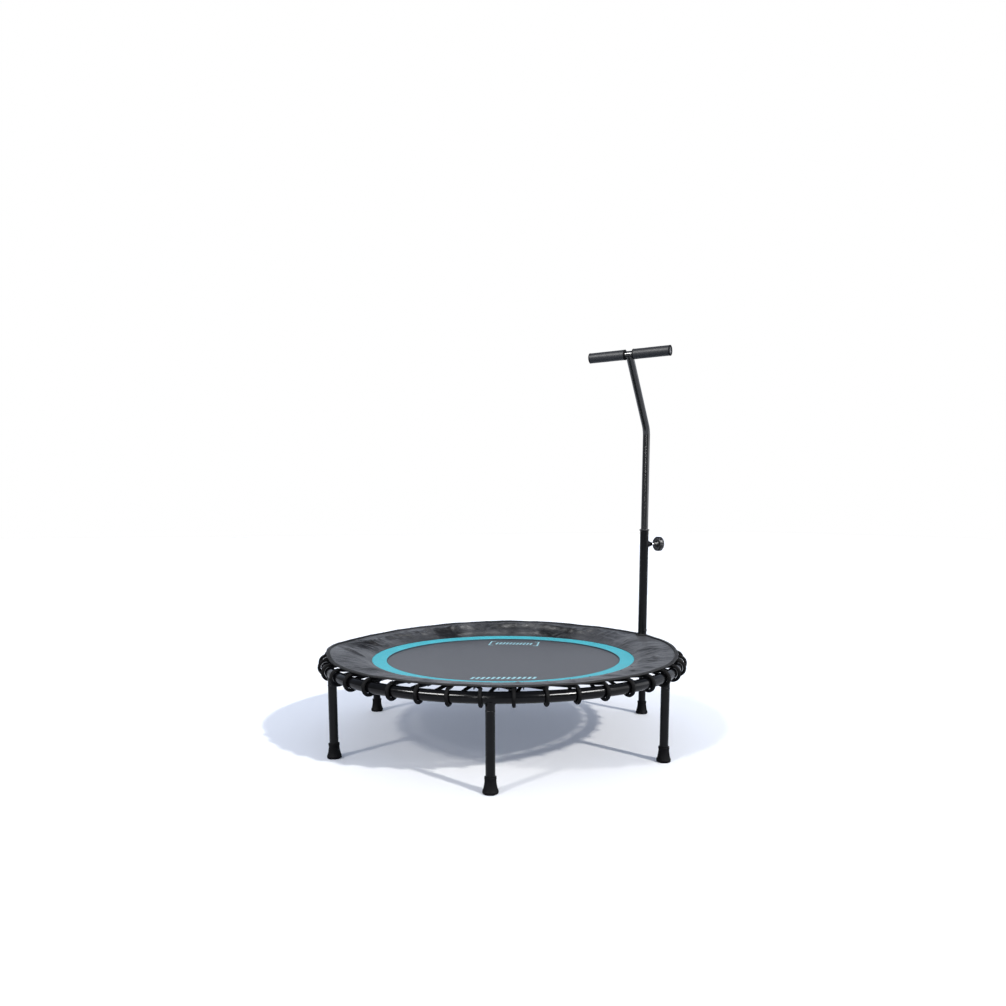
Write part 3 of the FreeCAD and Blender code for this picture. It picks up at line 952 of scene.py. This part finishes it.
# ---- Skirt ----

# height of the skirt's free edge over the middle of the tube, at each angle round the ring
EDGE_RISE = (
    (15, 27), (34, 27), (51, 30), (76, 37), (112, 39), (149, 45), (176, 40), (198, 34), (219, 31),
    (236, 36), (254, 42), (269, 32), (283, 29), (305, 29.5), (334, 28), (354, 27),
)
# the lowest that the cloth lies, on the tabs and the cord: radius and height of its upper face
LOWEST = (
    (417, 257.4), (421, 257.6), (428, 259.4), (437, 263.5), (450, 264.2), (500, 269.8), (532, 273.8),
    (548, 276.9),
)
# long soft folds: angle and radius where each starts and ends, its height and its width
FOLDS = (
    (202, 447, 163, 492, 9.0, 10),
    (158, 484, 132, 474, 8.0, 11),
    (136, 478, 94, 444, 9.0, 9),
    (176, 436, 148, 446, 6.5, 9),
    (140, 440, 112, 430, 7.0, 9),
    (222, 436, 196, 470, 4.0, 8),
    (228, 470, 196, 510, 3.5, 9),
    (238, 545, 256, 424, 6.0, 10),
    (190, 500, 168, 522, 3.0, 8),
    (118, 508, 96, 500, 3.0, 9),
    (64, 508, 34, 460, 3.0, 10),
)
# where the small folds are lower: azimuth, spread in degrees, and by what share
CALM_STRETCHES = ((258, 20, 0.8), (332, 12, 0.6))
COLUMNS_PER_PANEL = 24
SKIRT_ROWS = 30


def around_ring(points, degrees):
    """Smooth values between (angle, value) points that go right round."""
    angles = np.array([a for a, _ in points] + [points[0][0] + 360], float)
    values = np.array([v for _, v in points] + [points[0][1]], float)
    slopes = (np.roll(values[:-1], -1) - np.roll(values[:-1], 1)) / (
        (np.roll(angles[:-1], -1) - np.roll(angles[:-1], 1)) % 360)
    slopes = np.append(slopes, slopes[0])
    turned = (degrees - angles[0]) % 360 + angles[0]
    k = np.clip(np.searchsorted(angles, turned, side="right") - 1, 0, len(points) - 1)
    span = angles[k + 1] - angles[k]
    t = (turned - angles[k]) / span
    return ((2 * t ** 3 - 3 * t ** 2 + 1) * values[k] + (t ** 3 - 2 * t ** 2 + t) * span * slopes[k]
            + (3 * t ** 2 - 2 * t ** 3) * values[k + 1] + (t ** 3 - t ** 2) * span * slopes[k + 1])


def gap(first, second):
    """Signed difference of two angles in degrees."""
    return (first - second + 180) % 360 - 180


def edge_line(degrees):
    """Radius and height of the skirt's free edge, with its dip round the post."""
    rise = around_ring(EDGE_RISE, degrees) * MM
    wave = 0.9 * np.sin(np.radians(degrees * 17)) + 0.6 * np.sin(np.radians(degrees * 29 + 40))
    dip = 15 * MM * np.exp(-abs(gap(degrees, FIRST_LEG) / 1.78) ** 3.4)
    return SKIRT_OUT - dip, RING_Z + rise + 0.5 * wave * MM


def skirt_tops():
    """Radius, azimuth and height of the upper face, by columns round the ring and rows outwards."""
    rng = np.random.RandomState(11)
    columns = LOOP_COUNT * COLUMNS_PER_PANEL
    degrees = FIRST_LOOP - LOOP_PITCH / 2 + 360 * np.arange(columns) / columns
    t = np.linspace(0, 1, SKIRT_ROWS)
    angle, across = np.meshgrid(degrees, t, indexing="ij")
    edge_r, edge_z = edge_line(angle)
    radius = SKIRT_IN + (edge_r - SKIRT_IN) * across
    lowest = np.interp(radius, [r * MM for r, _ in LOWEST], [z * MM for _, z in LOWEST])
    lowest += (edge_z - LOWEST[-1][1] * MM) * (1 - (1 - across) ** 2.2)
    height = lowest + 1.5 * MM * np.sin(np.pi * across) ** 2
    inside = np.sin(np.pi * across) ** 0.6
    for start, start_r, end, end_r, rise, width in FOLDS:
        s = np.clip(gap(angle, start) / gap(end, start), -0.5, 1.5)
        middle = (start_r + (end_r - start_r) * s) * MM
        ends = np.exp(-(np.maximum(abs(s - 0.5) - 0.3, 0) / 0.22) ** 2)
        off = (radius - middle) / (width * MM)
        ridge = np.exp(-off ** 2) - 0.45 * np.exp(-(off - 1.9) ** 2)
        height = height + rise * MM * ends * ridge * inside
    for _ in range(260):
        place, slant = rng.uniform(0, 360), rng.uniform(-9, 9)
        width, depth = rng.uniform(0.5, 2.0), rng.uniform(0.5, 2.6) * MM
        middle, reach = rng.uniform(0.25, 0.75), rng.uniform(0.2, 0.45)
        calm = 1.0
        for azimuth, spread, share in CALM_STRETCHES:
            calm -= share * math.exp(-(gap(place, azimuth) / spread) ** 2)
        off = gap(angle, place + slant * (across - 0.5)) / width
        height = height + depth * calm * np.exp(-off ** 2 - ((across - middle) / reach) ** 2) * inside
    x, y = radius * np.cos(np.radians(angle)), radius * np.sin(np.radians(angle))
    for _ in range(80):
        middle = polar(rng.uniform(440, 520) * MM, rng.uniform(92, 240))
        way = polar(1, 61 + rng.uniform(-16, 16))
        along = (x - middle.x) * way.x + (y - middle.y) * way.y
        off = (y - middle.y) * way.x - (x - middle.x) * way.y
        length, width = rng.uniform(25, 80) * MM, rng.uniform(4, 9) * MM
        depth = rng.uniform(1.2, 4.6) * MM
        height = height + depth * np.exp(-(along / length) ** 2 - (off / width) ** 2) * inside
    above = np.logaddexp(0, (height - lowest) / MM * 2) * MM / 2
    return radius, angle, lowest + above * inside


def add_skirt(trims):
    """One panel to each loop of the cord, edge to edge; the trims are not used."""
    radius, angle, top = skirt_tops()
    turn = np.radians(angle)
    upper = np.stack([radius * np.cos(turn), radius * np.sin(turn), top], -1)
    lower = upper - np.array([0, 0, SKIRT_THICK])
    whole = np.concatenate([upper, lower[:, ::-1]], 1)
    ahead = np.roll(whole, -1, 0) - np.roll(whole, 1, 0)
    out = np.roll(whole, -1, 1) - np.roll(whole, 1, 1)
    facing = unit(np.cross(out, ahead))
    count = len(whole)
    for k in range(LOOP_COUNT):
        rows = np.arange(k * COLUMNS_PER_PANEL, (k + 1) * COLUMNS_PER_PANEL + 1) % count
        panel = surface(f"skirt_panel_{k + 1}", [whole[rows]], caps=True, normals=facing[rows])
        panel.data.materials.append(FINISHES["skirt_fabric"])
        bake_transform(panel)
        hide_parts("skirt_cover")


def add_binding():
    """Tape folded over the skirt's free edge."""
    steps = 1512
    degrees = 360 * np.arange(steps) / steps
    radius, height = edge_line(degrees)
    turn, tape_r = np.radians(degrees), radius + 0.5 * MM
    path = np.stack([tape_r * np.cos(turn), tape_r * np.sin(turn), height], -1)
    pucker = 1 + 0.06 * np.sin(np.radians(degrees * 61)) * np.sin(np.radians(degrees * 7))
    growth = np.stack([np.ones(steps), pucker], -1)
    section = flat_section(11.5 * MM, 5 * MM, 20, 3)[None] * growth[:, None]
    grid = carry(path, section, closed=True, up=(0, 0, 1))
    tape = surface("skirt_edge_tape", [grid], close_rows=True)
    placed(tape, "frame", FINISHES["binding_tape"], "binding_tape", "skirt_binding")
    places = []
    for k in range(0, steps, 2):
        ahead = Vector(path[(k + 1) % steps] - path[k - 1]).normalized()
        side = ahead.cross(Vector((0, 0, 1))).normalized()
        place = Vector(path[k]) - side * 3.4 * MM + Vector((0, 0, 2.3 * MM))
        places.append((place, ahead, Vector((0, 0, 1))))
    seam = surface("tape_stitching", stitch_grids(places, 3.2 * MM, 0.4 * MM), caps=True)
    placed(seam, "frame", DARK_THREAD, "binding_tape")
    return [tape, seam]


# ---- Post, clamp and handle ----


def add_bushing():
    """Sleeve in the top of the post, with a flange on its rim."""
    bore, sleeve_r, flange_r = 12.7, 13.4, 17.0
    flange, depth = 5.0, 18.0
    profile = softened([
        (12.9, -depth), (bore, -depth), (bore, flange - 0.6), (sleeve_r, flange), (16.4, flange),
        (flange_r, flange - 0.6), (flange_r, 0.4), (16.2, 0), (sleeve_r, 0), (sleeve_r, -depth),
        (12.9, -depth),
    ], 0.7)
    grid = lathe(profile, POST + Vector((0, 0, POST_TOP)), sides=64)
    collar = surface("post_collar", [grid])
    placed(collar, "frame", FINISHES["black_plastic"], "black_plastic", "post_bushing")


# the knob's radius and its distance from the post's axis, in millimetres, from hub to face
KNOB_PROFILE = (
    (4.1, 40.5), (7.2, 40.0), (7.8, 41), (8.2, 46), (9.6, 52.2), (11.5, 53.6), (13, 54.4), (18, 54.4),
    (20, 53.2), (21.5, 53), (24.5, 56), (24.5, 68.5), (21.5, 71.8), (18.5, 72), (17.2, 70.8),
    (14.6, 70.8), (13.8, 71.6), (0.3, 72),
)


def add_knob():
    def lobed(radius, height, turn):
        groove = (0.5 + 0.5 * math.cos(8 * turn)) ** 5
        rim = min(max((radius - 14 * MM) / (10.5 * MM), 0), 1)
        return radius + 1.2 * MM * rim - 0.9 * MM * groove * rim

    centre = POST + Vector((0, 0, CLAMP_Z))
    grid = lathe(softened(KNOB_PROFILE, 1.3), centre, axis=KNOB_AXIS, sides=128, shape=lobed)
    knob = surface("hand_knob", [grid], caps=True, edge=55)
    placed(knob, "clamp_knob", FINISHES["black_plastic"], "black_plastic", "clamp_knob")


def add_grips():
    def uneven(radius, height, turn):
        if radius < 12 * MM:
            return radius
        return radius * (1 + 0.006 * math.sin(3 * turn + 40 * height) + 0.004 * math.sin(95 * height))

    bore, skin, start, end = 11.05, 16.0, 13.5, 138.0
    outline = [(bore, start), (13.4, start), (15.4, 14.6), (skin, 17.5)]
    outline += [(skin, d) for d in range(24, 132, 6)]
    outline += [(skin, 134), (15.3, 136.9), (13.4, end), (11.4, end), (bore, 137.4), (bore, start)]
    for name, side in (("grip_right", 1), ("grip_left", -1)):
        grid = lathe(softened(outline, 1.2), BAR, axis=BAR_WAY * side, sides=56, shape=uneven)
        grip = surface(f"foam_{name}", [grid])
        placed(grip, "handle", FINISHES["grip_foam"], "grip_foam", name)


def add_grip_collars():
    """Dark moulded rings that close the ends of the foam."""
    bore, face, rim = 11.2, 14.6, 16.4
    grids = []
    for side in (1, -1):
        for start, end in ((12.6, 17.5), (134.2, 138.4)):
            profile = softened([
                (bore, start), (face, start), (rim, start + 0.8), (rim, end - 0.8), (face, end),
                (bore, end), (bore, start),
            ], 0.9)
            grids.append(lathe(profile, BAR, axis=BAR_WAY * side, sides=56))
    collars = surface("grip_collars", grids)
    placed(collars, "handle", FINISHES["foot_rubber"], "foot_rubber")


def add_plugs():
    profile = softened([
        (9.3, 120), (9.3, 134), (10.6, 134), (10.9, 134.4), (10.9, 135.6), (10.2, 136.5), (6.8, 136.5),
        (6.2, 135.7), (0.3, 135.9),
    ], 0.6)
    for name, side in (("bar_plug_right", 1), ("bar_plug_left", -1)):
        grid = lathe(profile, BAR, axis=BAR_WAY * side, sides=48)
        plug = surface(f"end_{name}", [grid], caps=True)
        placed(plug, "handle", FINISHES["grey_plastic"], "grey_plastic", name)


def add_handle_weld():
    """The seam where the leaning stem meets the underside of the crossbar."""
    tilt = math.radians(STEM_LEAN)
    lean = polar(math.sin(tilt), HANDLE_TURN - 90, math.cos(tilt))
    side = lean.cross(BAR_WAY).normalized()
    seam_r = STEM_R * 0.86
    path = []
    for turn in np.linspace(0, 2 * math.pi, 60, endpoint=False):
        along, across = seam_r * math.cos(turn), seam_r * math.sin(turn)
        drop = math.sqrt(BAR_R ** 2 - across ** 2) + 0.4 * MM
        path.append(BAR + BAR_WAY * along + side * across - lean * drop)
    weld = surface("handle_weld", [bead(path, 1.4 * MM)], close_rows=True)
    placed(weld, "handle", FINISHES["frame_paint"], "frame_paint")


# ---- Making ----

SPECIAL = dict.fromkeys(("handle_stem", "crossbar"), stem_paint())
SPECIAL.update(dict.fromkeys(("post_bolt", "post_nut"), black_steel()))
for name, node in nodes.items():
    for material_slot in node.material_slots:
        material_slot.material = SPECIAL.get(name, FINISHES[material_slot.material.name.split(".")[0]])

add_ring()
add_frame_welds()
add_leg_seams()
add_feet()
mat = add_mat()
band, band_seams = add_band()
hem, hem_seams = add_hem()
add_tabs()
add_marks()
add_lacing()
add_skirt(add_binding())
add_bushing()
add_knob()
add_grips()
add_grip_collars()
add_plugs()
add_handle_weld()
